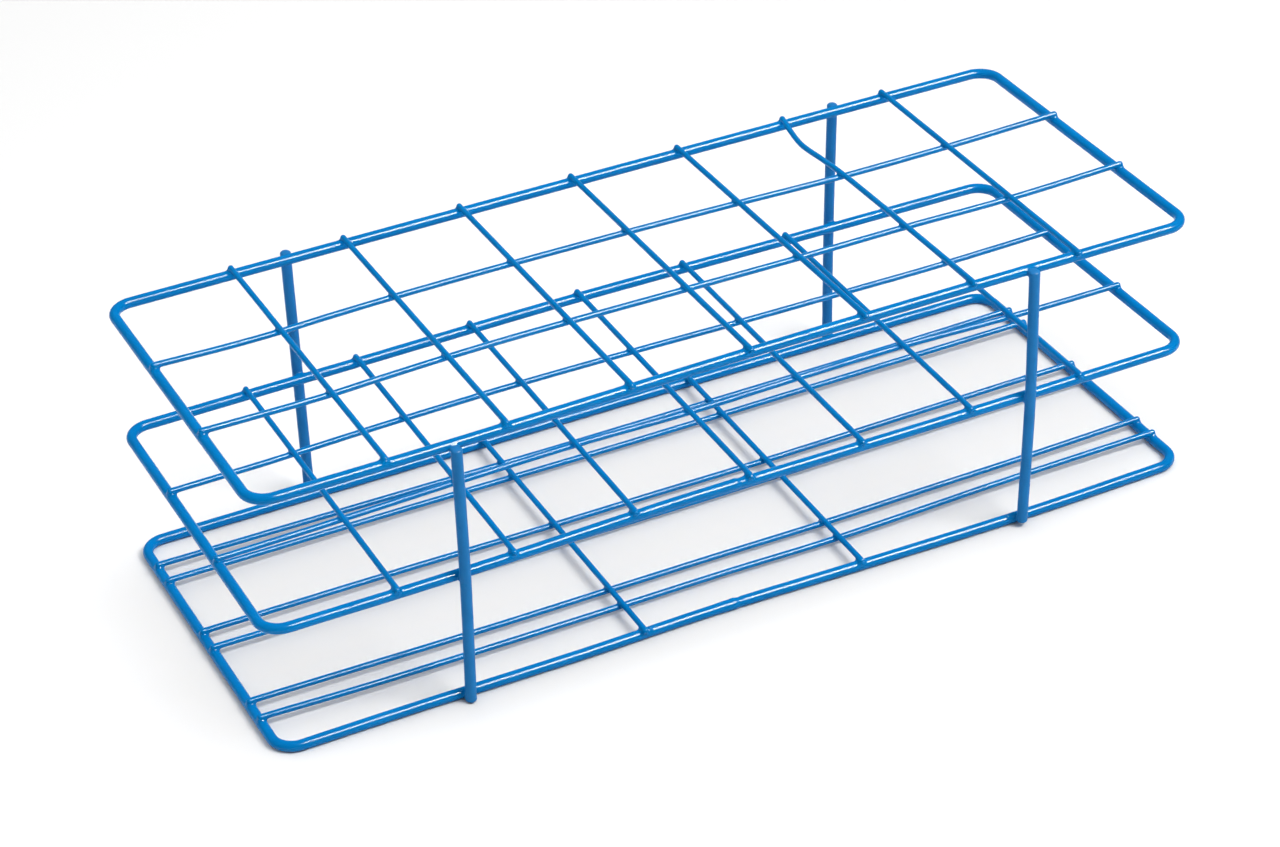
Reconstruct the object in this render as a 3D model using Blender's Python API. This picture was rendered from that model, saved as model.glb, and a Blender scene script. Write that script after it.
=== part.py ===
"""A wire test tube rack, as separate coated wires: three rounded frames one above the other,
thin cross and long wires that fill them in as grids, and four posts that join them.

Metres, +Z up. X runs along the length, Y from the front to the rear, and the rack stands
on Z = 0 with the origin under the middle of its frames.
"""

import math

import bmesh
import bpy
from mathutils import Vector

MM = 0.001

# Driving dimensions
CELL = 35.3 * MM  # pitch of the tube places along the length
FRAME_LENGTH = 286.9 * MM  # between the centrelines of the end rails
FRAME_WIDTH = 112.7 * MM  # between the centrelines of the front and rear rails
CORNER_RADIUS = 6.5 * MM  # of a frame's centreline
RAIL_RADIUS = 1.6 * MM  # of the frames' wire, with its coating
CROSS_RADIUS = 0.85 * MM  # of the cross wires, with their coating
LONG_RADIUS = 0.92 * MM  # of the long wires, whose coating is thicker
POST_RADIUS = 1.65 * MM
JOINT_GAP = 0.3 * MM  # left between two wires where the real ones are welded

TIERS = ("bottom", "middle", "top")
HEIGHTS = (RAIL_RADIUS, 41.2 * MM, 82.7 * MM)  # of the frames' centrelines

# How far wires run past the centreline of the rail they end on
FRONT_OVERHANG = 1.9 * MM
REAR_OVERHANG = 0.8 * MM
LEFT_OVERHANG = 1.0 * MM
RIGHT_OVERHANG = 1.0 * MM

# Mesh fineness
RAIL_SIDES = 12
WIRE_SIDES = 8
CORNER_STEPS = 5
HALF_CELLS = 2  # rings per cell along a wire that bends

# The wires are bent and welded by hand, so none is quite straight. Places along the length
# are in cells from the middle, and every offset is in millimetres.

# Long rails: (cell, offset towards the rear, offset upwards)
RAIL_BENDS = {
    ("bottom", "front"): (
        (-4, 0, 0), (-3, 0.3, 0), (-1.5, 0, 0), (-0.25, 0.7, 0), (1, -0.35, 0), (2.5, -1.1, 0), (4, 0, 0),
    ),
    ("bottom", "rear"): ((-4, 0, 0), (0, 0.5, 0), (4, 0, 0)),
    ("middle", "front"): (
        (-4, 0, -0.4), (-2.5, 0, -0.3), (-0.6, 0, 1.1), (0.3, 0, 0.85), (2, 0, 0.6), (4, 0, 0.9),
    ),
    ("middle", "rear"): ((-4, 0, 0.3), (-2, 0, 1.1), (0, 0, 1.85), (2, 0, 1.2), (4, 0, 0.8)),
    ("top", "front"): ((-4, -1.1, 0), (-2.5, -0.8, 0), (0, 0.9, 0), (2, 1.1, 0), (4, 0.6, 0)),
    ("top", "rear"): ((-4, -0.3, 0), (0, -0.1, 0), (4, -0.45, 0)),
}

# Cross wires: (cell, shift of the rear end, shift of the front end) along the length
CROSS_WIRES = {
    "bottom": ((-1, 1.4, 1.1), (1, 1.2, -0.3)),
    "middle": (
        (-3, -0.3, -0.3), (-2, -0.9, -1.25), (-1, 0.5, 0), (0, 0.7, 0.3), (1, 0.9, 0.5), (2, 1.2, 0.3),
        (3, 0.9, 1.2),
    ),
    "top": (
        (-3, -0.4, -0.2), (-2, -1.1, -0.8), (-1, 0.2, 0.8), (0, 0.9, 1.65), (1, 0.7, 1.9), (2, -0.2, 1.2),
        (3, 0.1, -0.2),
    ),
}

# One cross wire of the top tier is kinked near its rear end: (distance behind the middle, shift)
KINKED_WIRE = ("top", 2)
KINK = ((-56, 0), (-20, 0), (0, 0), (18, -0.3), (28, -1.0), (38, -1.8), (46, -0.8), (56, 1.3))

# Long wires: (distance behind the middle, its changes along the wire as (cell, offset))
LONG_WIRES = {
    "bottom": (
        (41.6, ((-4, -0.5), (-2, 0.3), (0.5, 0.5), (2, 0), (3, -0.5), (4, -0.5))),
        (32.6, ((-4, -0.4), (-2.2, 1.0), (-1, 1.3), (0, 1.2), (1, 1.1), (2.2, 0.7), (4, -0.3))),
        (3.7, ((-4, -0.2), (-2.3, 0.9), (-1, 1.0), (0, 1.1), (1, 0.7), (2, 0.6), (4, 0))),
        (-4.7, ((-4, -0.4), (-2, -0.1), (1, 0), (3, -0.1), (4, -0.3))),
        (
            -33.4,
            ((-4, -0.3), (-2.2, -0.2), (-1, 0.3), (0, 0.4), (1, -0.1), (2, -0.1), (3, -0.3), (4, 0)),
        ),
        (
            -41.9,
            ((-4, -0.2), (-3.2, -0.7), (-2.2, -0.4), (-1, 0.1), (0, 0.3), (1, -0.4), (2.5, 0.4), (4, 0.1)),
        ),
    ),
    "middle": (
        (
            17.8,
            ((-4, -0.6), (-3.4, 0.9), (-2.6, 2.5), (-1.3, 2.6), (0, 1.7), (1, 1.2), (3, 1.0), (4, -0.1)),
        ),
        (
            -18.0,
            (
                (-4, -2.1), (-3, 0.5), (-2.3, 1.1), (-1, 0.9), (0, -0.1), (1, 1.0), (2, 1.6), (3, 0.1),
                (4, -2.3),
            ),
        ),
    ),
    "top": (
        (
            17.0,
            (
                (-4, 0), (-3.5, 0.5), (-3, 1.5), (-2.6, 2.5), (-1.5, 3.3), (0, 3.0), (1, 2.0), (2, 0.7),
                (3, 0.9), (4, 0.1),
            ),
        ),
        (
            -20.4,
            (
                (-4, -0.7), (-3.5, 0.3), (-3, 1.3), (-2.6, 2.3), (-1.5, 3.5), (0, 2.9), (1, 2.4),
                (2, 2.5), (4, 1.1),
            ),
        ),
    ),
}

# Posts: side of the frames, where they stand along the length at the three frames, and the
# heights of the foot and the top
POSTS = {
    "post_front_left": ("front", (-88.4, -87.2, -87.0), 0.1, 83.2),
    "post_front_right": ("front", (86.7, 89.4, 90.7), 1.3, 84.0),
    "post_rear_left": ("rear", (-89.3, -89.0, -88.7), 0.6, 84.0),
    "post_rear_right": ("rear", (87.5, 88.6, 90.3), 0.6, 84.0),
}

# Coating colours, linear
FRAME_BLUE = (0.002, 0.172, 0.480, 1.0)
WIRE_BLUE = (0.002, 0.180, 0.500, 1.0)
POST_BLUE = (0.005, 0.165, 0.440, 1.0)


def remove_everything():
    for obj in list(bpy.data.objects):
        bpy.data.objects.remove(obj, do_unlink=True)


def coating(name, color, roughness):
    """A glossy dipped plastic coating."""
    material = bpy.data.materials.new(name)
    material.use_nodes = True
    shader = material.node_tree.nodes["Principled BSDF"]
    shader.inputs["Base Color"].default_value = color
    shader.inputs["Roughness"].default_value = roughness
    shader.inputs["Metallic"].default_value = 0.0
    material.diffuse_color = color
    return material


def smooth(knots, at, column=1):
    """Height at `at` of a soft curve through knots, each (place, height, ...)."""
    at = min(max(at, knots[0][0]), knots[-1][0])
    i = 0
    while i < len(knots) - 2 and at > knots[i + 1][0]:
        i += 1

    def slope(j):
        before, after = knots[max(j - 1, 0)], knots[min(j + 1, len(knots) - 1)]
        return (after[column] - before[column]) / (after[0] - before[0])

    step = knots[i + 1][0] - knots[i][0]
    t = (at - knots[i][0]) / step
    start, end = knots[i][column], knots[i + 1][column]
    leave, arrive = slope(i) * step, slope(i + 1) * step
    return (
        (2 * t**3 - 3 * t**2 + 1) * start
        + (t**3 - 2 * t**2 + t) * leave
        + (3 * t**2 - 2 * t**3) * end
        + (t**3 - t**2) * arrive
    )


def spaced(start, end, pitch):
    """Numbers from start to end, evenly spaced and about a pitch apart."""
    steps = max(1, round(abs(end - start) / pitch))
    return [start + (end - start) * i / steps for i in range(steps + 1)]


def on_frame(tier, x, y):
    """A point of a frame's plane, moved with the bends of its front and rear rails."""
    rear_share = min(max(y / FRAME_WIDTH + 0.5, 0.0), 1.0)
    front, rear = RAIL_BENDS[tier, "front"], RAIL_BENDS[tier, "rear"]
    back = smooth(front, x / CELL, 1) * (1 - rear_share) + smooth(rear, x / CELL, 1) * rear_share
    up = smooth(front, x / CELL, 2) * (1 - rear_share) + smooth(rear, x / CELL, 2) * rear_share
    return Vector((x, y + back * MM, HEIGHTS[TIERS.index(tier)] + up * MM))


def frame_points(tier):
    """A frame's centreline: a closed rectangle with rounded corners."""
    half_length, half_width = FRAME_LENGTH / 2, FRAME_WIDTH / 2
    straight_x, straight_y = half_length - CORNER_RADIUS, half_width - CORNER_RADIUS
    points = []
    for turn, (side_x, side_y) in enumerate(((-1, -1), (1, -1), (1, 1), (-1, 1))):
        # Each corner turns a quarter, and runs on as the straight rail that follows it.
        for step in range(CORNER_STEPS + 1):
            angle = math.pi + math.pi / 2 * (turn + step / CORNER_STEPS)
            x = side_x * straight_x + CORNER_RADIUS * math.cos(angle)
            y = side_y * straight_y + CORNER_RADIUS * math.sin(angle)
            points.append(on_frame(tier, x, y))
        if turn % 2 == 0:
            along = spaced(side_x * straight_x, -side_x * straight_x, CELL / HALF_CELLS)[1:-1]
            points += [on_frame(tier, x, side_y * half_width) for x in along]
        else:
            along = spaced(side_y * straight_y, -side_y * straight_y, CELL)[1:-1]
            points += [on_frame(tier, side_x * half_length, y) for y in along]
    return points


def cross_height(tier, cell, y):
    """A cross wire lies on the front and rear rails, straight between them."""
    return on_frame(tier, cell * CELL, y).z + RAIL_RADIUS + JOINT_GAP + CROSS_RADIUS


def cross_points(tier, cell, rear_shift, front_shift):
    start, end = -FRAME_WIDTH / 2 - FRONT_OVERHANG, FRAME_WIDTH / 2 + REAR_OVERHANG
    kinked = (tier, cell) == KINKED_WIRE
    points = []
    for y in spaced(start, end, CELL / 4 if kinked else end - start):
        rear_share = y / FRAME_WIDTH + 0.5
        shift = front_shift * (1 - rear_share) + rear_shift * rear_share
        if kinked:
            shift += smooth(KINK, y / MM)
        points.append(Vector((cell * CELL + shift * MM, y, cross_height(tier, cell, y))))
    return points


def long_points(tier, behind, bends):
    """A long wire lies on the end rails, and dips under every cross wire between them."""
    end_lift = RAIL_RADIUS + JOINT_GAP + LONG_RADIUS
    dip = CROSS_RADIUS + JOINT_GAP + LONG_RADIUS
    start, end = -FRAME_LENGTH / 2, FRAME_LENGTH / 2
    heights = [(start, on_frame(tier, start, behind * MM).z + end_lift)]
    for cell, _, _ in CROSS_WIRES[tier]:
        heights.append((cell * CELL, cross_height(tier, cell, behind * MM) - dip))
    heights.append((end, on_frame(tier, end, behind * MM).z + end_lift))
    points = []
    for x in spaced(start - LEFT_OVERHANG, end + RIGHT_OVERHANG, CELL / HALF_CELLS):
        y = (behind + smooth(bends, x / CELL)) * MM
        points.append(Vector((x, y, smooth(heights, x))))
    return points


def post_points(side, stations, foot, top):
    """A post stands against the outer side of the three long rails on its side."""
    outwards = -1 if side == "front" else 1
    along = [(height, x * MM) for height, x in zip(HEIGHTS, stations)]
    across = [(height, on_frame(tier, x, outwards * FRAME_WIDTH / 2).y)
              for tier, (height, x) in zip(TIERS, along)]
    clear = outwards * (RAIL_RADIUS + JOINT_GAP + POST_RADIUS)
    return [
        Vector((smooth(along, z), smooth(across, z) + clear, z))
        for z in spaced(foot * MM, top * MM, CELL / HALF_CELLS)
    ]


def wire(name, points, radius, sides, material, closed=False):
    """A tube with flat sides around a centreline; one side of a level tube faces straight down."""
    mesh = bpy.data.meshes.new(name)
    build = bmesh.new()
    reach = radius / math.cos(math.pi / sides)
    count = len(points)
    rings = []
    for i, centre in enumerate(points):
        before = points[i - 1] if closed or i else points[0]
        after = points[(i + 1) % count] if closed or i < count - 1 else points[-1]
        ahead = (after - before).normalized()
        level = abs(ahead.z) < 0.5
        sideways = ahead.cross(Vector((0, 0, 1))) if level else Vector((0, 1, 0)).cross(ahead)
        sideways.normalize()
        upwards = sideways.cross(ahead)
        ring = []
        for k in range(sides):
            angle = 2 * math.pi * (k + 0.5) / sides
            offset = sideways * math.cos(angle) + upwards * math.sin(angle)
            ring.append(build.verts.new(centre + offset * reach))
        rings.append(ring)
    pairs = list(zip(rings, rings[1:]))
    if closed:
        pairs.append((rings[-1], rings[0]))
    for near, far in pairs:
        for k in range(sides):
            after = (k + 1) % sides
            build.faces.new((near[k], far[k], far[after], near[after]))
    if not closed:
        build.faces.new(rings[0])
        build.faces.new(rings[-1][::-1])
    build.to_mesh(mesh)
    build.free()
    mesh.shade_smooth()
    mesh.set_sharp_from_angle(angle=math.radians(60))
    mesh.materials.append(material)
    obj = bpy.data.objects.new(name, mesh)
    bpy.context.scene.collection.objects.link(obj)
    return obj


def build_tier(tier, frame_coat, wire_coat):
    wire(f"{tier}_frame", frame_points(tier), RAIL_RADIUS, RAIL_SIDES, frame_coat, closed=True)
    for number, (cell, rear_shift, front_shift) in enumerate(CROSS_WIRES[tier], start=1):
        points = cross_points(tier, cell, rear_shift, front_shift)
        wire(f"{tier}_cross_wire_{number}", points, CROSS_RADIUS, WIRE_SIDES, wire_coat)
    for number, (behind, bends) in enumerate(LONG_WIRES[tier], start=1):
        points = long_points(tier, behind, bends)
        wire(f"{tier}_long_wire_{number}", points, LONG_RADIUS, WIRE_SIDES, wire_coat)


def build_rack():
    remove_everything()
    frame_coat = coating("frame_coating", FRAME_BLUE, 0.22)
    wire_coat = coating("wire_coating", WIRE_BLUE, 0.22)
    post_coat = coating("post_coating", POST_BLUE, 0.35)
    for tier in TIERS:
        build_tier(tier, frame_coat, wire_coat)
    for name, post in POSTS.items():
        wire(name, post_points(*post), POST_RADIUS, RAIL_SIDES, post_coat)


build_rack()
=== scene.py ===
"""Looks of the coated wire test tube rack: every wire swept as a fine tube, welded to its
neighbours with fillets of coating, under soft studio light.

The path of each wire is worked in millimetres from the frame's boxes.
"""

import itertools
import math

import bpy
import numpy as np
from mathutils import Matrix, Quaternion, Vector


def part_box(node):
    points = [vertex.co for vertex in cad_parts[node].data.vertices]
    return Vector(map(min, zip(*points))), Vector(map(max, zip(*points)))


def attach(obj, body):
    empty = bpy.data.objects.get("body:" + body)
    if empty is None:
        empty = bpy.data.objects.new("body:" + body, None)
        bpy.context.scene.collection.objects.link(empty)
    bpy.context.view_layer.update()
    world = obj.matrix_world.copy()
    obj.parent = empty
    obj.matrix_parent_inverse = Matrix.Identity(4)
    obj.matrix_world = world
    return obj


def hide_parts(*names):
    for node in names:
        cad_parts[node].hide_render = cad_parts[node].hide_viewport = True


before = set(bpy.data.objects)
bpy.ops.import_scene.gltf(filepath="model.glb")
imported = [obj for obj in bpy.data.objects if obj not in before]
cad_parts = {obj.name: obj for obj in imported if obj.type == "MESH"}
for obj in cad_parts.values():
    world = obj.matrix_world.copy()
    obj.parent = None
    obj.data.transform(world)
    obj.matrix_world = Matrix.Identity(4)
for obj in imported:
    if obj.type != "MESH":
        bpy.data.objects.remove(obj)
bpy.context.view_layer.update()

MM = 0.001


def node_box(node):
    low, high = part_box(node)
    return np.array(low) / MM, np.array(high) / MM


# ---------------------------------------------------------------- sizes
TIERS = ("bottom", "middle", "top")
LOW, HIGH = node_box("middle_frame")
CAD_RAIL = 1.6  # radius of the solids' rails
# Radii of the round wires, a little inside the solids to leave room for the coating's waves
RAIL = CAD_RAIL - 0.06
CROSS = 0.84
LONG = 0.91
POST = 1.61
# Distances between the centrelines of wires that are welded together
RAIL_TO_WIRE = 2.125
WIRE_TO_WIRE = 1.43
RAIL_TO_POST = 2.95
LENGTH = HIGH[0] - LOW[0] - 2 * CAD_RAIL
WIDTH = HIGH[1] - LOW[1] - 2 * CAD_RAIL
CELL = 35.3
MIDDLE_DIP = 0.4  # the middle frame's lowest bend
SETTLE = 0.05  # the upper frames sit this much below the solids' centrelines
# Heights of the frames' centrelines
LEVEL = {
    "bottom": node_box("bottom_frame")[0][2] + RAIL,
    "middle": LOW[2] + CAD_RAIL + MIDDLE_DIP - SETTLE,
    "top": node_box("top_frame")[0][2] + CAD_RAIL - SETTLE,
}
CORNER = 6.5
WIDE_CORNER = 6.8  # front right, of the bottom and middle frames
RING_PITCH = 0.25  # between the points of a path
CROSS_OVER_FRONT = 1.85
FRONT_DROOP = 0.6  # of the cross wires' front ends, past the rail
CROSS_OVER_REAR = 0.8
LEFT_OVER = 1.0
RIGHT_OVER = 1.0

# ---------------------------------------------------------------- hand bends, as in the solids
# Long rails: (cell, offset towards the rear, offset upwards)
RAIL_BENDS = {
    ("bottom", "front"): (
        (-4, 0, 0), (-3, 0.3, 0), (-1.5, 0, 0), (-0.25, 0.7, 0), (1, -0.35, 0), (2.5, -1.1, 0),
        (4, 0, 0),
    ),
    ("bottom", "rear"): ((-4, 0, 0), (0, 0.5, 0), (4, 0, 0)),
    ("middle", "front"): (
        (-4, 0, -0.4), (-2.5, 0, -0.3), (-0.6, 0, 1.1), (0.3, 0, 0.85), (2, 0, 0.6), (4, 0, 0.9),
    ),
    ("middle", "rear"): ((-4, 0, 0.3), (-2, 0, 1.1), (0, 0, 1.85), (2, 0, 1.2), (4, 0, 0.8)),
    ("top", "front"): ((-4, -1.1, 0), (-2.5, -0.8, 0), (0, 0.9, 0), (2, 1.1, 0), (4, 0.6, 0)),
    ("top", "rear"): ((-4, -0.3, 0), (0, -0.1, 0), (4, -0.45, 0)),
}
# Cross wires: (cell, shift of the rear end, shift of the front end)
CROSS_WIRES = {
    "bottom": ((-1, 1.4, 1.1), (1, 1.2, -0.3)),
    "middle": (
        (-3, -0.3, -0.3), (-2, -0.9, -1.25), (-1, 0.5, 0), (0, 0.7, 0.3), (1, 0.9, 0.5),
        (2, 1.2, 0.3), (3, 0.9, 1.2),
    ),
    "top": (
        (-3, -0.4, -0.2), (-2, -1.1, -0.8), (-1, 0.2, 0.8), (0, 0.9, 1.65), (1, 0.7, 1.9),
        (2, -0.2, 1.2), (3, 0.1, -0.2),
    ),
}
KINKED_WIRE = ("top", 2)
KINK = ((-56, 0), (-20, 0), (0, 0), (18, -0.3), (28, -1.0), (38, -1.8), (46, -0.8), (56, 1.3))
# Long wires: (distance behind the middle, its changes along the wire as (cell, offset))
LONG_WIRES = {
    "bottom": (
        (41.6, ((-4, -0.5), (-2, 0.3), (0.5, 0.5), (2, 0), (3, -0.5), (4, -0.5))),
        (32.6, ((-4, -0.4), (-2.2, 1.0), (-1, 1.3), (0, 1.2), (1, 1.1), (2.2, 0.7), (4, -0.3))),
        (3.7, ((-4, -0.2), (-2.3, 0.9), (-1, 1.0), (0, 1.1), (1, 0.7), (2, 0.6), (4, 0))),
        (-4.7, ((-4, -0.4), (-2, -0.1), (1, 0), (3, -0.1), (4, -0.3))),
        (
            -33.4,
            (
                (-4, -0.3), (-2.2, -0.2), (-1, 0.3), (0, 0.4), (1, -0.1), (2, -0.1), (3, -0.3),
                (4, 0),
            ),
        ),
        (
            -41.9,
            (
                (-4, -0.2), (-3.2, -0.7), (-2.2, -0.4), (-1, 0.1), (0, 0.3), (1, -0.4), (2.5, 0.4),
                (4, 0.1),
            ),
        ),
    ),
    "middle": (
        (
            17.8,
            (
                (-4, -0.6), (-3.4, 0.9), (-2.6, 2.5), (-1.3, 2.6), (0, 1.7), (1, 1.2), (3, 1.0),
                (4, -0.1),
            ),
        ),
        (
            -18.0,
            (
                (-4, -2.1), (-3, 0.5), (-2.3, 1.1), (-1, 0.9), (0, -0.1), (1, 1.0), (2, 1.6),
                (3, 0.1), (4, -2.3),
            ),
        ),
    ),
    "top": (
        (
            17.0,
            (
                (-4, 0), (-3.5, 0.5), (-3, 1.5), (-2.6, 2.5), (-1.5, 3.3), (0, 3.0), (1, 2.0),
                (2, 0.7), (3, 0.9), (4, 0.1),
            ),
        ),
        (
            -20.4,
            (
                (-4, -0.7), (-3.5, 0.3), (-3, 1.3), (-2.6, 2.3), (-1.5, 3.5), (0, 2.9), (1, 2.4),
                (2, 2.5), (4, 1.1),
            ),
        ),
    ),
}
# Posts: side, where they stand along the length at the three frames, heights of foot and top
POSTS = {
    "post_front_left": ("front", (-88.4, -87.2, -87.0), 0.1, 83.1),
    "post_front_right": ("front", (86.7, 89.4, 90.7), 1.3, 83.9),
    "post_rear_left": ("rear", (-89.3, -89.0, -88.7), 0.6, 83.9),
    "post_rear_right": ("rear", (87.5, 88.6, 90.3), 0.6, 83.9),
}


def smooth(knots, at, column=1):
    """A soft curve through knots (place, value, ...), read at an array of places."""
    at = np.clip(np.asarray(at, float), knots[0][0], knots[-1][0])
    places = np.array([k[0] for k in knots], float)
    values = np.array([k[column] for k in knots], float)
    last = len(knots) - 1
    index = np.arange(last + 1)
    i = np.clip(np.searchsorted(places, at, side="right") - 1, 0, last - 1)
    before, after = np.maximum(index - 1, 0), np.minimum(index + 1, last)
    slopes = (values[after] - values[before]) / (places[after] - places[before])
    step = places[i + 1] - places[i]
    t = (at - places[i]) / step
    return (
        (2 * t**3 - 3 * t**2 + 1) * values[i]
        + (t**3 - 2 * t**2 + t) * slopes[i] * step
        + (3 * t**2 - 2 * t**3) * values[i + 1]
        + (t**3 - t**2) * slopes[i + 1] * step
    )


def on_frame(tier, x, y):
    """Points of a frame's plane, moved with the bends of its front and rear rails."""
    x, y = np.broadcast_arrays(np.asarray(x, float), np.asarray(y, float))
    share = np.clip(y / WIDTH + 0.5, 0, 1)
    front, rear = RAIL_BENDS[tier, "front"], RAIL_BENDS[tier, "rear"]
    back = smooth(front, x / CELL, 1) * (1 - share) + smooth(rear, x / CELL, 1) * share
    up = smooth(front, x / CELL, 2) * (1 - share) + smooth(rear, x / CELL, 2) * share
    return np.stack([x, y + back, LEVEL[tier] + up], -1)


def evenly(start, end, pitch=RING_PITCH):
    """Numbers from start to end, a pitch apart or a little more or less."""
    return np.linspace(start, end, max(2, int(round(abs(end - start) / pitch)) + 1))


def frame_path(tier):
    """A closed rectangle with rounded corners, each followed by the straight rail after it."""
    half_x, half_y = LENGTH / 2, WIDTH / 2
    stretches = []
    corners = ((-1, -1), (1, -1), (1, 1), (-1, 1))
    radii = [
        WIDE_CORNER if (sx, sy) == (1, -1) and tier != "top" else CORNER for sx, sy in corners
    ]
    for turn, (sx, sy) in enumerate(corners):
        radius, ahead = radii[turn], radii[(turn + 1) % 4]
        angle = evenly(0, math.pi / 2, RING_PITCH / radius) + math.pi + math.pi / 2 * turn
        cx, cy = sx * (half_x - radius), sy * (half_y - radius)
        stretches.append((cx + radius * np.cos(angle), cy + radius * np.sin(angle)))
        if turn % 2 == 0:
            run = evenly(sx * (half_x - radius), -sx * (half_x - ahead))[1:-1]
            stretches.append((run, np.full_like(run, sy * half_y)))
        else:
            run = evenly(sy * (half_y - radius), -sy * (half_y - ahead))[1:-1]
            stretches.append((np.full_like(run, sx * half_x), run))
    x, y = (np.concatenate([stretch[axis] for stretch in stretches]) for axis in (0, 1))
    return on_frame(tier, x, y)


def cross_height(tier, cell, y):
    """A cross wire lies on the front and rear rails, straight between them."""
    return on_frame(tier, cell * CELL, y)[..., 2] + RAIL_TO_WIRE


def cross_path(tier, cell, rear_shift, front_shift):
    y = evenly(-WIDTH / 2 - CROSS_OVER_FRONT, WIDTH / 2 + CROSS_OVER_REAR)
    share = y / WIDTH + 0.5
    x = cell * CELL + front_shift * (1 - share) + rear_shift * share
    if (tier, cell) == KINKED_WIRE:
        x = x + smooth(KINK, y)
    past = np.clip((-WIDTH / 2 - y) / CROSS_OVER_FRONT, 0, 1)
    return np.stack([x, y, cross_height(tier, cell, y) - FRONT_DROOP * past**2], -1)


def long_path(tier, behind, bends):
    """A long wire lies on the end rails, and dips under every cross wire between them."""
    start, end = -LENGTH / 2, LENGTH / 2
    x = evenly(start - LEFT_OVER, end + RIGHT_OVER)
    heights = [(start, float(on_frame(tier, start, behind)[2]) + RAIL_TO_WIRE)]
    for cell, _, _ in CROSS_WIRES[tier]:
        heights.append((cell * CELL, float(cross_height(tier, cell, behind)) - WIRE_TO_WIRE))
    heights.append((end, float(on_frame(tier, end, behind)[2]) + RAIL_TO_WIRE))
    return np.stack([x, behind + smooth(bends, x / CELL), smooth(heights, x)], -1)


def post_path(side, stations, foot, top):
    """A post leans along the long rails, whose outer sides it touches."""
    out = -1 if side == "front" else 1
    along = [(LEVEL[t], x) for t, x in zip(TIERS, stations)]
    across = [
        (LEVEL[t], float(on_frame(t, x, out * WIDTH / 2)[1])) for t, x in zip(TIERS, stations)
    ]
    z = evenly(foot, top)
    y = smooth(across, z) + out * RAIL_TO_POST
    return np.stack([smooth(along, z), y, z], -1)


# ---------------------------------------------------------------- every wire
class Wire:
    """A wire's centreline and what sits on it; places along it are arc lengths from its start."""

    def __init__(self, node, path, radius, slot, closed=False, dome=0.0):
        self.node, self.radius, self.slot, self.closed = node, radius, slot, closed
        self.dome = dome * radius  # depth of the rounded ends
        self.line = np.vstack([path, path[:1]]) if closed else path
        self.height = path[:, 2].mean()
        steps = np.linalg.norm(np.diff(self.line, axis=0), axis=1)
        self.arc = np.concatenate([[0], np.cumsum(steps)])
        self.total = self.arc[-1]
        self.joints = []  # (place here, other wire, place there)
        self.bumps = []  # (place, direction or None for all round, height, width, length)

    def at(self, s):
        """Points at places along the wire."""
        if self.closed:
            s = np.mod(s, self.total)
        return np.stack([np.interp(s, self.arc, self.line[:, k]) for k in range(3)], -1)

    def ahead(self, s, step=0.4):
        """Unit directions of the wire at places along it."""
        if self.closed:
            a, b = self.at(s - step), self.at(s + step)
        else:
            a, b = self.at(np.maximum(s - step, 0)), self.at(np.minimum(s + step, self.total))
        d = b - a
        return d / np.linalg.norm(d, axis=-1, keepdims=True)


WIRES = {}
for tier in TIERS:
    node = f"{tier}_frame"
    WIRES[node] = Wire(node, frame_path(tier), RAIL, "frame_coating", closed=True)
    for number, (cell, rear, front) in enumerate(CROSS_WIRES[tier], start=1):
        node = f"{tier}_cross_wire_{number}"
        path = cross_path(tier, cell, rear, front)
        WIRES[node] = Wire(node, path, CROSS, "wire_coating", dome=1.0)
    for number, (behind, bends) in enumerate(LONG_WIRES[tier], start=1):
        node = f"{tier}_long_wire_{number}"
        path = long_path(tier, behind, bends)
        WIRES[node] = Wire(node, path, LONG, "wire_coating", dome=1.0)
for node, post in POSTS.items():
    WIRES[node] = Wire(node, post_path(*post), POST, "post_coating", dome=0.5)


# ---------------------------------------------------------------- joints between wires
JOINT_REACH = 0.2  # wires whose surfaces come closer than this are welded
SEARCH_STRIDE = 4  # the first, coarse search looks at every fourth point
SEARCH_SLACK = 0.3  # and so accepts wires that are this much too far apart
JOINTS_APART = 12  # coarse points between two joints of the same pair of wires, at least
FINE_SEARCH = np.linspace(-1.5, 1.5, 61)  # places tried about each coarse find


def around(wire, place):
    """Places close to one, kept on the wire."""
    places = FINE_SEARCH + place
    return places if wire.closed else np.clip(places, 0, wire.total)


def find_joints(a, b):
    """Notes on both wires the places where they touch."""
    near = a.radius + b.radius + JOINT_REACH
    points_a, points_b = a.line[::SEARCH_STRIDE], b.line[::SEARCH_STRIDE]
    gap = np.linalg.norm(points_a[:, None] - points_b[None], axis=2)
    close = np.flatnonzero(gap.min(1) < near + SEARCH_SLACK)
    if not len(close):
        return
    for run in np.split(close, np.flatnonzero(np.diff(close) > JOINTS_APART) + 1):
        i = run[np.argmin(gap[run].min(1))]
        j = int(np.argmin(gap[i]))
        on_a = around(a, a.arc[::SEARCH_STRIDE][i])
        on_b = around(b, b.arc[::SEARCH_STRIDE][j])
        fine = np.linalg.norm(a.at(on_a)[:, None] - b.at(on_b)[None], axis=2)
        k, m = np.unravel_index(np.argmin(fine), fine.shape)
        if fine[k, m] < near:
            a.joints.append((float(on_a[k]), b, float(on_b[m])))
            b.joints.append((float(on_b[m]), a, float(on_a[k])))


for first, second in itertools.combinations(sorted(WIRES), 2):
    find_joints(WIRES[first], WIRES[second])


def add_bump(node, place, towards, height, width, length=None):
    """A swelling of coating or weld metal on a wire, or a dent if its height is negative.

    It sits near a place and faces a direction, or goes all the way round if there is none.
    """
    wire = WIRES[node]
    s = wire.arc[np.argmin(np.linalg.norm(wire.line - np.array(place, float), axis=1))]
    facing = None if towards is None else np.array(towards, float)
    wire.bumps.append((float(s), facing, height, width, length or width))


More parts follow.
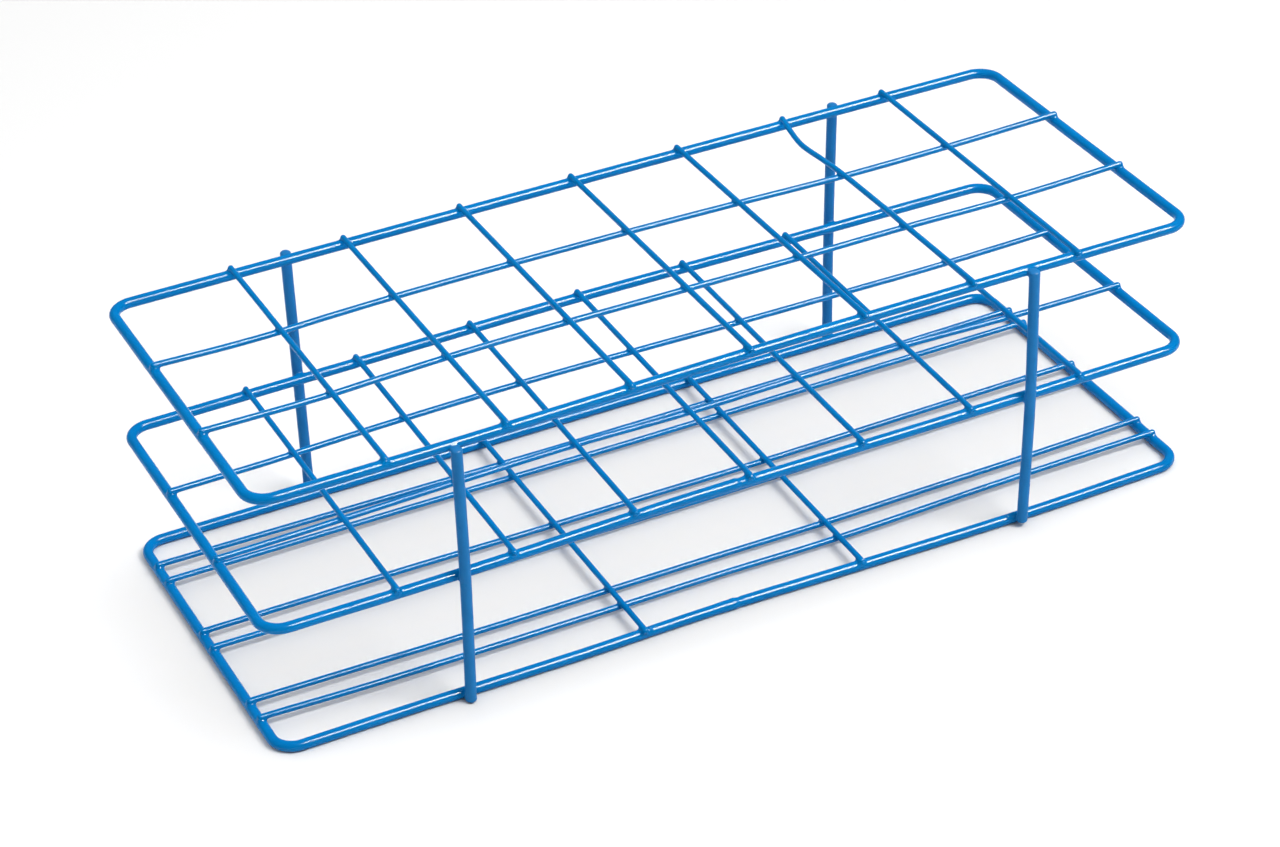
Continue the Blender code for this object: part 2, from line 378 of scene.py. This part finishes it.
# Where the ends of a frame's wire were joined: the left end proud, then a soft step down, as
# (place along, height, length)
BUTT_WELD = ((-3.8, 0.10, 2.6), (-1.0, 0.15, 1.0), (0.5, -0.13, 0.8))


def add_butt_weld(node, x):
    for along, height, length in BUTT_WELD:
        place = (x + along, -WIDTH / 2, WIRES[node].height)
        add_bump(node, place, None, height, 1.0, length)


add_butt_weld("middle_frame", -3.2)
add_butt_weld("bottom_frame", -4.4)

# Drips, pimples and small dents of the rails' coating: frame, side (1 is the rear), place along,
# height, size
PIMPLES = (
    ("top", 1, -126.0, 0.10, 0.45), ("middle", 1, -115.0, 0.10, 0.45),
    ("bottom", 1, -116.0, 0.10, 0.45), ("top", -1, -117.0, -0.08, 0.6),
    ("top", -1, -94.0, -0.07, 0.5), ("top", -1, 19.0, -0.08, 0.6),
    ("middle", -1, -120.0, -0.08, 0.6), ("bottom", -1, -32.2, 0.42, 0.5),
    ("bottom", -1, 83.4, 0.40, 0.5),
)
PIMPLES_FACE = (0, -0.35, 1)
for tier, side, x, height, size in PIMPLES:
    place = (x, side * WIDTH / 2, LEVEL[tier])
    add_bump(f"{tier}_frame", place, PIMPLES_FACE, height, size)


# ---------------------------------------------------------------- the tubes' surface
FAR = 99.0  # farther than any distance that matters
# Distances from a joint or bump, and the gaps between the rings there
RING_GAPS = ((0, 2.6, 5.0, 9.0), (0.17, 0.20, 0.6, 1.1))
LEAST_GAP = 0.08  # between the last two rings
CAP_STEPS = 7
CAP_FULLNESS = 0.9  # of the rounded ends: 1 is an ellipse, less is blunter
RIPPLE = 0.008  # height of the slow waves in the coating
RIPPLE_WAVES = (31.0, 17.0, 9.5, 6.0)  # their lengths
SEAM_FADE = 20  # a closed wire's ripple dies out towards its seam
FILLET_SPAN = 4.5  # of the surface on either side of a joint that can rise
FILLET_REACH = 4.0  # of the other wire that it rises towards
FILLET_SOFT_THICK, FILLET_SOFT_THIN = 1.2, 0.9  # size at rails and posts, and between thin wires
FILLET_TRIALS = np.linspace(0, 0.9, 31)  # heights tried at each point
FILLET_MOST = 0.55
CORE_INSET = 0.9  # of a radius: how far inside a wire's tips its core ends, for the fillets


def stations(wire):
    """Places of the rings: close together where the surface is busy, apart where it is plain."""
    busy = [s for s, _, _ in wire.joints] + [bump[0] for bump in wire.bumps]
    start, end = wire.dome, wire.total - wire.dome
    places, s = [start], start
    while s < end:
        away = min([abs(s - b) for b in busy], default=FAR)
        if wire.closed:
            away = min([away] + [wire.total - abs(s - b) for b in busy])
        s += float(np.interp(away, *RING_GAPS))
        places.append(min(s, end))
    if places[-1] - places[-2] < LEAST_GAP:
        places.pop(-2)
    if wire.closed:
        places.pop()
    return np.array(places)


def ripple(s, angle, seed):
    """Slow waves in the coating's thickness, as it ran and dripped."""
    rng = np.random.default_rng(seed)
    out = np.zeros(np.broadcast(s, angle).shape)
    for wave in RIPPLE_WAVES:
        phase, twist = rng.uniform(0, 2 * math.pi, 2)
        turns = rng.integers(0, 3)
        longest = RIPPLE_WAVES[0]
        swing = 2 * math.pi * s / wave + phase + turns * angle + twist
        out += np.sin(swing) * (wave / longest) ** 0.5
    return RIPPLE * out / 2


def segment_gap(points, a, b):
    """Distance of points to the line from a to b."""
    ab = b - a
    t = np.clip(((points - a) @ ab) / (ab @ ab), 0, 1)
    return np.linalg.norm(points - (a + t[..., None] * ab), axis=-1)


def gap_to_wire(points, other, there):
    """Distance of points to another wire's surface, near a place on it."""
    start, end = there - FILLET_REACH, there + FILLET_REACH
    if not other.closed:
        start = max(start, other.radius * CORE_INSET)
        end = min(end, other.total - other.radius * CORE_INSET)
    a, b = other.at(np.array([start, end]))
    if start < there < end:
        centre = other.at(np.array([there]))[0]
        gap = np.minimum(segment_gap(points, a, centre), segment_gap(points, centre, b))
    else:
        gap = segment_gap(points, a, b)
    return gap - other.radius


def fillet_lift(points, normals, other, there, soft):
    """How far each point rises along its normal to lie on the smooth union with another wire."""
    trial = points[:, None] + normals[:, None] * FILLET_TRIALS[None, :, None]
    gap = gap_to_wire(trial, other, there)
    own = FILLET_TRIALS[None, :]
    join = np.minimum(own, gap) - np.maximum(soft - np.abs(own - gap), 0) ** 2 / (4 * soft)
    outside = join >= 0
    first = np.argmax(outside, axis=1)
    first[~outside.any(1)] = len(FILLET_TRIALS) - 1
    before = np.maximum(first - 1, 0)
    rows = np.arange(len(points))
    join_before, join_first = join[rows, before], join[rows, first]
    crossed = (first > 0) & (join_first > join_before)
    share = np.where(crossed, -join_before / np.maximum(join_first - join_before, 1e-9), 0)
    rise = FILLET_TRIALS[first] - FILLET_TRIALS[before]
    lift = FILLET_TRIALS[before] + np.clip(share, 0, 1) * rise
    return np.where(first == 0, 0, np.minimum(lift, FILLET_MOST))


def cross_sections(ahead, angle):
    """Unit normals all round a wire, for each of its rings."""
    upright = abs(ahead[len(ahead) // 2][2]) >= 0.5
    if upright:
        sideways = np.cross((0, 1.0, 0), ahead)
    else:
        sideways = np.cross(ahead, (0, 0, 1.0))
    sideways /= np.linalg.norm(sideways, axis=1, keepdims=True)
    upwards = np.cross(sideways, ahead)
    across, up = np.cos(angle)[None, :, None], np.sin(angle)[None, :, None]
    return sideways[:, None] * across + upwards[:, None] * up


def end_cap(wire, centre, out, radial, place, side):
    """Rings of a rounded end from the body outwards, as points, normals and places."""
    points, normals, places = [], [], []
    for k in range(1, CAP_STEPS):
        phi = math.pi / 2 * (1 - k / CAP_STEPS)  # 90 degrees at the body, 0 at the pole
        back = wire.dome * (1 - math.cos(phi))
        tip = centre + out * (wire.dome - back)
        points.append(tip + radial * wire.radius * math.sin(phi) ** CAP_FULLNESS)
        normals.append(radial * math.sin(phi) + out * math.cos(phi))
        places.append(np.full(len(radial), place + side * (wire.dome - back)))
    return np.array(points), np.array(normals), np.array(places)


def plain_surface(wire, sides):
    """Rings along a wire and over its ends: points, normals, places and angles, then the poles."""
    s = stations(wire)
    centres, ahead = wire.at(s), wire.ahead(s)
    angle = 2 * math.pi * (np.arange(sides) + 0.5) / sides
    normals = cross_sections(ahead, angle)
    points = centres[:, None] + normals * wire.radius
    rings = [(points, normals, np.repeat(s[:, None], sides, 1))]
    poles = []
    if not wire.closed:
        for side, index in ((-1, 0), (1, -1)):
            out = ahead[index] * side
            cap = end_cap(wire, centres[index], out, normals[index], s[index], side)
            if side < 0:
                rings.insert(0, tuple(part[::-1] for part in cap))
            else:
                rings.append(cap)
            poles.append(centres[index] + out * wire.dome)
    points, normals, places = [np.concatenate([ring[i] for ring in rings]) for i in range(3)]
    return points, normals, places, np.repeat(angle[None], len(points), 0), poles


def weld_lift(wire, points, normals, places):
    """How far the coating's fillets at the welds stand off the plain surface."""
    lift = np.zeros(len(points))
    for here, other, there in wire.joints:
        off = np.abs(places - here)
        if wire.closed:
            off = np.minimum(off, wire.total - off)
        near = np.flatnonzero(off < FILLET_SPAN)
        soft = FILLET_SOFT_THICK if max(wire.radius, other.radius) > 1 else FILLET_SOFT_THIN
        rise = fillet_lift(points[near], normals[near], other, there, soft)
        lift[near] = np.maximum(lift[near], rise)
    return lift


def bump_lift(wire, normals, places):
    """How far each of the wire's bumps stands off, one after the other."""
    for here, towards, height, width, length in wire.bumps:
        away = 0.0
        if towards is not None:
            facing = normals @ (towards / np.linalg.norm(towards))
            away = np.arccos(np.clip(facing, -1, 1)) * wire.radius
        yield height * np.exp(-(((places - here) / length) ** 2) - (away / width) ** 2)


def build_surface(wire, sides):
    """All points of a wire's coated surface, the rings' shape, and whether poles follow them."""
    points, normals, places, angles, poles = plain_surface(wire, sides)
    shape = points.shape[:2]
    points, normals = points.reshape(-1, 3), normals.reshape(-1, 3)
    places, angles = places.reshape(-1), angles.reshape(-1)
    lift = weld_lift(wire, points, normals, places)
    for rise in bump_lift(wire, normals, places):
        lift = lift + rise
    seed = sum(ord(c) * (i + 1) for i, c in enumerate(wire.node))
    thickness = ripple(places, angles, seed)
    if wire.closed:
        thickness = thickness * np.clip(np.minimum(places, wire.total - places) / SEAM_FADE, 0, 1)
    points = points + normals * (lift + thickness)[:, None]
    points[:, 2] = np.maximum(points[:, 2], 0.0)
    if poles:
        points = np.vstack([points, poles])
    return points, shape, bool(poles)


def signed_volume(mesh, points):
    """Positive where the mesh's faces look outwards."""
    mesh.calc_loop_triangles()
    corners = np.zeros(len(mesh.loop_triangles) * 3, np.int32)
    mesh.loop_triangles.foreach_get("vertices", corners)
    a, b, c = np.moveaxis(points[corners.reshape(-1, 3)], 1, 0)
    return np.einsum("ij,ij->i", a, np.cross(b, c)).sum()


def make_piece(wire, sides, material):
    """The mesh of one wire, as quads between its rings and fans over its ends."""
    points, (rings, around_ring), capped = build_surface(wire, sides)
    index = np.arange(rings * around_ring).reshape(rings, around_ring)
    near = index if wire.closed else index[:-1]
    far = np.roll(index, -1, 0) if wire.closed else index[1:]
    quads = np.stack([near, far, np.roll(far, -1, 1), np.roll(near, -1, 1)], -1).reshape(-1, 4)
    faces = [tuple(q) for q in quads.tolist()]
    if capped:
        first, last = index.size, index.size + 1
        for k in range(around_ring):
            after = (k + 1) % around_ring
            faces.append((int(index[0, k]), int(index[0, after]), first))
            faces.append((int(index[-1, after]), int(index[-1, k]), last))
    mesh = bpy.data.meshes.new(wire.node + "_coated")
    mesh.from_pydata((points * MM).tolist(), [], faces)
    mesh.validate()
    if signed_volume(mesh, points) < 0:
        mesh.flip_normals()
    mesh.shade_smooth()
    mesh.materials.append(material)
    piece = bpy.data.objects.new(wire.node + "_coated", mesh)
    bpy.context.scene.collection.objects.link(piece)
    return piece


# ---------------------------------------------------------------- materials
def new_material(name):
    material = bpy.data.materials.new(name)
    material.use_nodes = True
    tree = material.node_tree
    return material, tree.nodes, tree.links, tree.nodes["Principled BSDF"]


def noise(nodes, links, scale, detail, roughness=0.5):
    """A noise in the object's own space."""
    place = nodes.new("ShaderNodeTexCoord")
    texture = nodes.new("ShaderNodeTexNoise")
    texture.inputs["Scale"].default_value = scale
    texture.inputs["Detail"].default_value = detail
    texture.inputs["Roughness"].default_value = roughness
    links.new(place.outputs["Object"], texture.inputs["Vector"])
    return texture.outputs["Fac"]


def blend(nodes, links, factor, first, second):
    """A colour between two stops, each a position and a colour."""
    ramp = nodes.new("ShaderNodeValToRGB")
    for element, (position, colour) in zip(ramp.color_ramp.elements, (first, second)):
        element.position = position
        element.color = (*colour, 1)
    links.new(factor, ramp.inputs["Fac"])
    return ramp.outputs["Color"]


def coating(name, deep, bright, roughness, specular):
    """Dipped plastic coating: colour that varies with its thickness, a faint orange-peel skin."""
    material, nodes, links, shader = new_material(name)
    patches = noise(nodes, links, scale=90.0, detail=3.0, roughness=0.55)
    colour = blend(nodes, links, patches, (0.32, deep), (0.68, bright))
    links.new(colour, shader.inputs["Base Color"])
    shine = nodes.new("ShaderNodeMapRange")
    shine.inputs["From Min"].default_value = 0.3
    shine.inputs["From Max"].default_value = 0.7
    shine.inputs["To Min"].default_value = roughness * 0.8
    shine.inputs["To Max"].default_value = roughness * 1.25
    links.new(noise(nodes, links, scale=240.0, detail=2.0), shine.inputs["Value"])
    links.new(shine.outputs["Result"], shader.inputs["Roughness"])
    peel = nodes.new("ShaderNodeBump")
    peel.inputs["Strength"].default_value = 0.05
    peel.inputs["Distance"].default_value = 0.00004
    links.new(noise(nodes, links, scale=900.0, detail=2.0), peel.inputs["Height"])
    links.new(peel.outputs["Normal"], shader.inputs["Normal"])
    shader.inputs["Specular IOR Level"].default_value = specular
    shader.inputs["IOR"].default_value = 1.5
    return material


# The painted shade under the rack, a greyer patch of the paper: half its size in metres, and the
# shares of that at which it starts and stops fading; its colours, and the colour around it
PAINTED_SHADE_HALF = (0.150, 0.063)
PAINTED_SHADE_FADE = (0.85, 1.45)
PAINTED_SHADE_PAPER = ((0.778, 0.764, 0.744), (0.798, 0.784, 0.764))
OPEN_PAPER = (0.90, 0.90, 0.90, 1)


def beyond_painted_shade(nodes, links):
    """Mask of the painted shade: 0 under the rack, rising to 1 a little outside, with softly
    squared corners.
    """
    place = nodes.new("ShaderNodeTexCoord")
    shares = nodes.new("ShaderNodeVectorMath")
    shares.operation = "MULTIPLY"
    shares.inputs[1].default_value = (1 / PAINTED_SHADE_HALF[0], 1 / PAINTED_SHADE_HALF[1], 0.0)
    links.new(place.outputs["Object"], shares.inputs[0])
    squares = nodes.new("ShaderNodeVectorMath")
    squares.operation = "MULTIPLY"
    links.new(shares.outputs["Vector"], squares.inputs[0])
    links.new(shares.outputs["Vector"], squares.inputs[1])
    distance = nodes.new("ShaderNodeVectorMath")
    distance.operation = "LENGTH"
    links.new(squares.outputs["Vector"], distance.inputs[0])
    rise = nodes.new("ShaderNodeMapRange")
    rise.interpolation_type = "SMOOTHSTEP"
    rise.inputs["From Min"].default_value, rise.inputs["From Max"].default_value = PAINTED_SHADE_FADE
    links.new(distance.outputs["Value"], rise.inputs["Value"])
    return rise.outputs["Result"]


def floor_paper():
    """White paper with a faint mottle, and painted shade under the rack that makes it greyer there.
    """
    material, nodes, links, shader = new_material("floor_paper")
    mottle = noise(nodes, links, scale=60.0, detail=4.0)
    # Painted shade under the rack: the paper made greyer there, with the mottle
    painted_shade = blend(nodes, links, mottle, (0.0, PAINTED_SHADE_PAPER[0]), (1.0, PAINTED_SHADE_PAPER[1]))
    # A mix node's colour sockets share their names with its other sockets, so they go by number
    paper = nodes.new("ShaderNodeMix")
    paper.data_type = "RGBA"
    links.new(beyond_painted_shade(nodes, links), paper.inputs[0])
    links.new(painted_shade, paper.inputs[6])
    paper.inputs[7].default_value = OPEN_PAPER
    links.new(paper.outputs[2], shader.inputs["Base Color"])
    shader.inputs["Roughness"].default_value = 0.6
    shader.inputs["Specular IOR Level"].default_value = 0.2
    return material


# Colours where the coating is thick and where it is thin, roughness, specular level
GLOSSY = ((0.0, 0.170, 0.470), (0.0, 0.196, 0.532), 0.15, 0.10)
# The posts: their own blue, with a little red added as painted sheen, the floor's reflection in
# their duller coat
DULLER_WITH_PAINTED_SHEEN = ((0.013, 0.170, 0.445), (0.016, 0.195, 0.505), 0.34, 0.07)
MATERIALS = {
    "frame_coating": coating("frame_coating_skin", *GLOSSY),
    "wire_coating": coating("wire_coating_skin", *GLOSSY),
    "post_coating": coating("post_coating_skin", *DULLER_WITH_PAINTED_SHEEN),
}
THICK_SIDES, THIN_SIDES = 32, 24

PIECES = []
for node, wire in WIRES.items():
    piece = make_piece(wire, THICK_SIDES if wire.radius > 1 else THIN_SIDES, MATERIALS[wire.slot])
    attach(piece, "root")
    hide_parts(node)
    PIECES.append(piece)


# ---------------------------------------------------------------- floor, light, camera
FLOOR_HALF = 1.6
FLOOR_DROP = 0.00002  # the floor lies this much below the wires that touch it
FILL = 0.335  # of the world's light, at the height of the horizon
FILL_SLOPE = (0.0, 0.52, 0.54)  # how it grows towards the rear and upwards
FILL_LEAST = 0.03
DARK_ROOM = 0.03
BACKDROP = 0.95

RACK_MIDDLE = Vector((0, 0, 0.03))
KEY = (0.38, -0.46, 0.80)
KEY_ROLL = math.radians(-34)  # turns its long side along the rack, so cross wires draw soft shadows
GLINT = (0.38, -0.54, 0.76)

CAMERA_AT = Vector((-0.3663, -0.7889, 0.5863))
CAMERA_AIM = Vector((-0.0139, -0.0165, 0.0431))
CAMERA_ROLL = math.radians(-2.89)


def make_floor():
    mesh = bpy.data.meshes.new("floor")
    signs = ((-1, -1), (1, -1), (1, 1), (-1, 1))
    corners = [(x * FLOOR_HALF, y * FLOOR_HALF, -FLOOR_DROP) for x, y in signs]
    mesh.from_pydata(corners, [], [(0, 1, 2, 3)])
    mesh.materials.append(floor_paper())
    floor = bpy.data.objects.new("floor", mesh)
    bpy.context.scene.collection.objects.link(floor)


def softbox(name, towards, distance, size, power, roll=0.0):
    """A rectangular light at a distance along a direction from the rack, facing it."""
    light = bpy.data.lights.new(name, "AREA")
    light.shape = "RECTANGLE"
    light.size, light.size_y = size
    light.energy = power
    lamp = bpy.data.objects.new(name, light)
    direction = Vector(towards).normalized()
    lamp.location = RACK_MIDDLE + direction * distance
    lamp.rotation_mode = "QUATERNION"
    lamp.rotation_quaternion = direction.to_track_quat("Z", "Y") @ Quaternion((0, 0, 1), roll)
    bpy.context.scene.collection.objects.link(lamp)
    return lamp


def either(nodes, links, is_second, first, second):
    """The first value, or the constant second one for the rays that a socket picks out."""
    mix = nodes.new("ShaderNodeMix")
    mix.data_type = "FLOAT"
    links.new(is_second, mix.inputs["Factor"])
    links.new(first, mix.inputs["A"])
    mix.inputs["B"].default_value = second
    return mix.outputs["Result"]


def make_world():
    """White fill, brightest overhead and behind and dim in front, before a pale backdrop.

    The gloss sees a dark room, so that its highlights come from the softbox alone.
    """
    world = bpy.data.worlds.new("studio")
    world.use_nodes = True
    nodes, links = world.node_tree.nodes, world.node_tree.links
    background = nodes["Background"]
    background.inputs["Color"].default_value = (1.0, 1.0, 1.0, 1)
    place = nodes.new("ShaderNodeTexCoord")
    slope = nodes.new("ShaderNodeVectorMath")
    slope.operation = "DOT_PRODUCT"
    slope.inputs[1].default_value = FILL_SLOPE
    links.new(place.outputs["Generated"], slope.inputs[0])
    raised = nodes.new("ShaderNodeMath")
    raised.operation = "ADD"
    raised.inputs[1].default_value = FILL
    links.new(slope.outputs["Value"], raised.inputs[0])
    fill = nodes.new("ShaderNodeMath")
    fill.operation = "MAXIMUM"
    fill.inputs[1].default_value = FILL_LEAST
    links.new(raised.outputs["Value"], fill.inputs[0])
    rays = nodes.new("ShaderNodeLightPath").outputs
    strength = either(nodes, links, rays["Is Glossy Ray"], fill.outputs["Value"], DARK_ROOM)
    strength = either(nodes, links, rays["Is Camera Ray"], strength, BACKDROP)
    links.new(strength, background.inputs["Strength"])
    bpy.context.scene.world = world


def make_key():
    """The key light, which the gloss doesn't see.

    Only what stands on the floor draws its shadows, as the upper tiers are too far up to draw any.
    """
    near_floor = bpy.data.collections.new("near_floor")
    for piece in PIECES:
        if piece.name.startswith(("bottom", "post")):
            near_floor.objects.link(piece)
    key = softbox("key_softbox", KEY, distance=2.0, size=(1.15, 0.42), power=31.0, roll=KEY_ROLL)
    key.visible_glossy = False
    key.light_linking.blocker_collection = near_floor


def make_glint():
    """The key's reflection in the gloss, as a light of its own that lights nothing else."""
    glint = softbox("key_glint", GLINT, distance=1.99, size=(1.06, 0.90), power=310.0)
    glint.data.color = (1.0, 0.98, 0.80)
    glint.visible_diffuse = False
    glint.data.cycles.max_bounces = 0


def make_camera():
    data = bpy.data.cameras.new("camera")
    data.sensor_width = 36.0
    data.lens = 99.53
    data.clip_start = 0.05
    data.clip_end = 20.0
    camera = bpy.data.objects.new("camera", data)
    camera.rotation_mode = "QUATERNION"
    camera.location = CAMERA_AT
    back = (CAMERA_AT - CAMERA_AIM).normalized()
    camera.rotation_quaternion = Quaternion(back, CAMERA_ROLL) @ back.to_track_quat("Z", "Y")
    bpy.context.scene.collection.objects.link(camera)
    bpy.context.scene.camera = camera


make_floor()
make_world()
make_key()
make_glint()
make_camera()
bpy.context.scene.view_settings.view_transform = "Standard"
